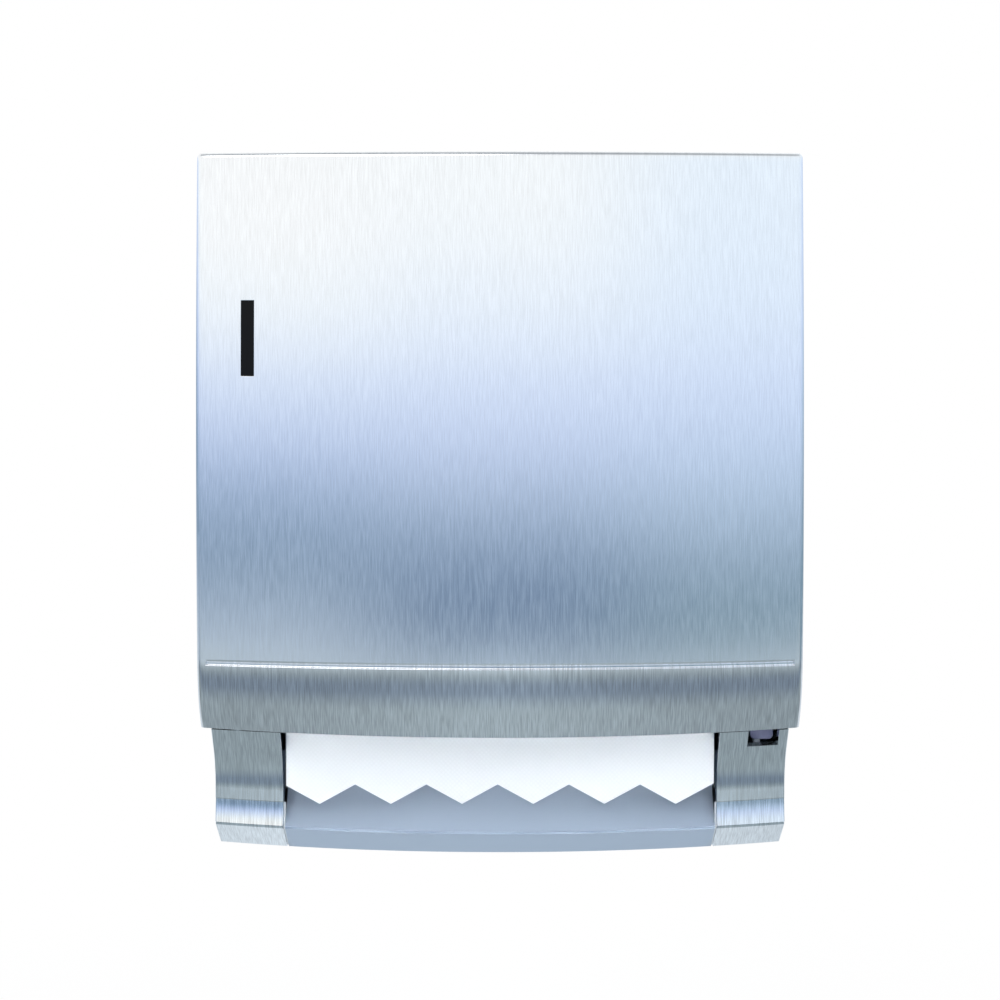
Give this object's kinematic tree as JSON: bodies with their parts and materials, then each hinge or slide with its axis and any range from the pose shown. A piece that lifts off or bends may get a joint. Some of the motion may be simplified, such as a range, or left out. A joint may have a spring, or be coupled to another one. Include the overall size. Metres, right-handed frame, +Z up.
{
  "type": "roll towel dispenser",
  "caption": "Wall-hung roll towel dispenser: bowed brushed-steel cover hinged at the top, coved legs and an open paper exit with a motor-driven feed behind it.",
  "frame": {"origin": "centre of the rectangle of wall holes, on the wall plane", "axes": "+Z up, +Y into the wall, +X to the right as seen from the front"},
  "size_m": [0.3, 0.2149, 0.3546],
  "materials": {
    "cover_steel": "vertical brushed grain",
    "leg_steel": "satin",
    "scoop_plastic": "smooth moulded",
    "plate_steel": "satin grey",
    "pan_plastic": "moulded",
    "dark_plastic": "moulded",
    "white_plastic": "moulded",
    "gear_plastic": "acetal",
    "shaft_steel": "ground",
    "blade_steel": "bright",
    "bracket_steel": "zinc",
    "spring_steel": "wire",
    "brass": "turned",
    "roller_rubber": "matt",
    "motor_can": "zinc plated",
    "cell_wrap": "plain sleeve",
    "board": "solder mask",
    "button_blue": "moulded",
    "lens": "smoked",
    "sensor_lens": "dark red filter",
    "bolt_grey": "violet grey",
    "paper": "embossed tissue",
    "card": "wound card"
  },
  "bodies": {
    "base": {"back_plate": "plate_steel", "left_frame": "plate_steel", "right_frame": "plate_steel", "base_pan": "pan_plastic", "left_leg": "leg_steel", "right_leg": "leg_steel", "exit_scoop": "scoop_plastic", "tear_bar": "shaft_steel", "tear_blade": "blade_steel", "left_hub": "white_plastic", "hub_spring": "spring_steel", "battery_box": "dark_plastic", "batteries": "cell_wrap", "cell_contacts": "brass", "motor": "motor_can", "gear_axle": "shaft_steel", "roller_bushes": "brass", "pinch_pivot": "shaft_steel", "pinch_springs": "spring_steel", "control_housing": "dark_plastic", "control_board": "board", "sensor_board": "board", "sensor_window": "sensor_lens", "hinge_pins": "shaft_steel", "lock_guide": "white_plastic", "paper_web": "paper", "paper_tail": "paper", "frame_screws": "bracket_steel"},
    "cover": {"front_cover": "cover_steel", "level_window": "lens", "cover_brackets": "bracket_steel", "lock_strike": "bracket_steel"},
    "bolt": {"lock_bolt": "bolt_grey"},
    "roll": {"paper_roll": "paper", "roll_core": "card"},
    "hub": {"right_hub": "white_plastic", "hub_clip": "bracket_steel"},
    "drive": {"drive_shaft": "shaft_steel", "drive_sleeve": "roller_rubber", "drive_gear": "gear_plastic", "shaft_clip": "bracket_steel"},
    "idler": {"idler_gear": "gear_plastic"},
    "pinion": {"motor_pinion": "brass", "motor_shaft": "shaft_steel"},
    "pinch_arm": {"pinch_frame": "white_plastic"},
    "pinch_roller": {"pinch_shaft": "shaft_steel", "pinch_tyres": "roller_rubber"},
    "door": {"battery_door": "dark_plastic"},
    "button": {"feed_button": "button_blue"},
    "switch": {"power_switch": "dark_plastic"}
  },
  "joints": [
    {"name": "cover_hinge", "type": "hinge", "parent": "base", "child": "cover", "pos_m": [0, -0.012, 0.1266], "axis": [-1, 0, 0], "range_deg": [0, 85]},
    {"name": "bolt_slide", "type": "slide", "parent": "base", "child": "bolt", "axis": [0, 0, 1], "range_m": [0, 0.006]},
    {"name": "roll_spin", "type": "hinge", "parent": "base", "child": "roll", "pos_m": [0, -0.09698, 0.03299], "axis": [1, 0, 0], "continuous": true},
    {"name": "drive_spin", "type": "hinge", "parent": "base", "child": "drive", "pos_m": [0, -0.1552, -0.132], "axis": [1, 0, 0], "continuous": true},
    {"name": "idler_spin", "type": "hinge", "parent": "base", "child": "idler", "pos_m": [0, -0.12983, -0.12276], "axis": [1, 0, 0], "continuous": true},
    {"name": "pinion_spin", "type": "hinge", "parent": "base", "child": "pinion", "pos_m": [0, -0.10083, -0.12276], "axis": [1, 0, 0], "continuous": true},
    {"name": "pinch_lift", "type": "hinge", "parent": "base", "child": "pinch_arm", "pos_m": [0, -0.19, -0.11], "axis": [-1, 0, 0], "range_deg": [0, 8], "stiffness_Nm_per_rad": 0.6, "springref_deg": -11.46},
    {"name": "pinch_spin", "type": "hinge", "parent": "pinch_arm", "child": "pinch_roller", "pos_m": [0, -0.1802, -0.132], "axis": [1, 0, 0], "continuous": true},
    {"name": "hub_slide", "type": "slide", "parent": "base", "child": "hub", "axis": [1, 0, 0], "range_m": [0, 0.008], "stiffness_N_per_m": 300, "springref_m": -0.01, "deforming": ["hub_spring"]},
    {"name": "door_hinge", "type": "hinge", "parent": "base", "child": "door", "pos_m": [0, -0.0398, -0.133], "axis": [1, 0, 0], "range_deg": [0, 90]},
    {"name": "button_press", "type": "slide", "parent": "base", "child": "button", "axis": [0, 1, 0], "range_m": [0, 0.0015], "stiffness_N_per_m": 600, "springref_m": -0.001},
    {"name": "switch_slide", "type": "slide", "parent": "base", "child": "switch", "axis": [1, 0, 0], "range_m": [0, 0.005]}
  ],
  "couplings": [
    {"joint": "drive_spin", "follows": "roll_spin", "ratio": 5.9321},
    {"joint": "idler_spin", "follows": "roll_spin", "ratio": -16.949},
    {"joint": "pinion_spin", "follows": "roll_spin", "ratio": 53.268},
    {"joint": "pinch_spin", "follows": "roll_spin", "ratio": -9.8869}
  ]
}
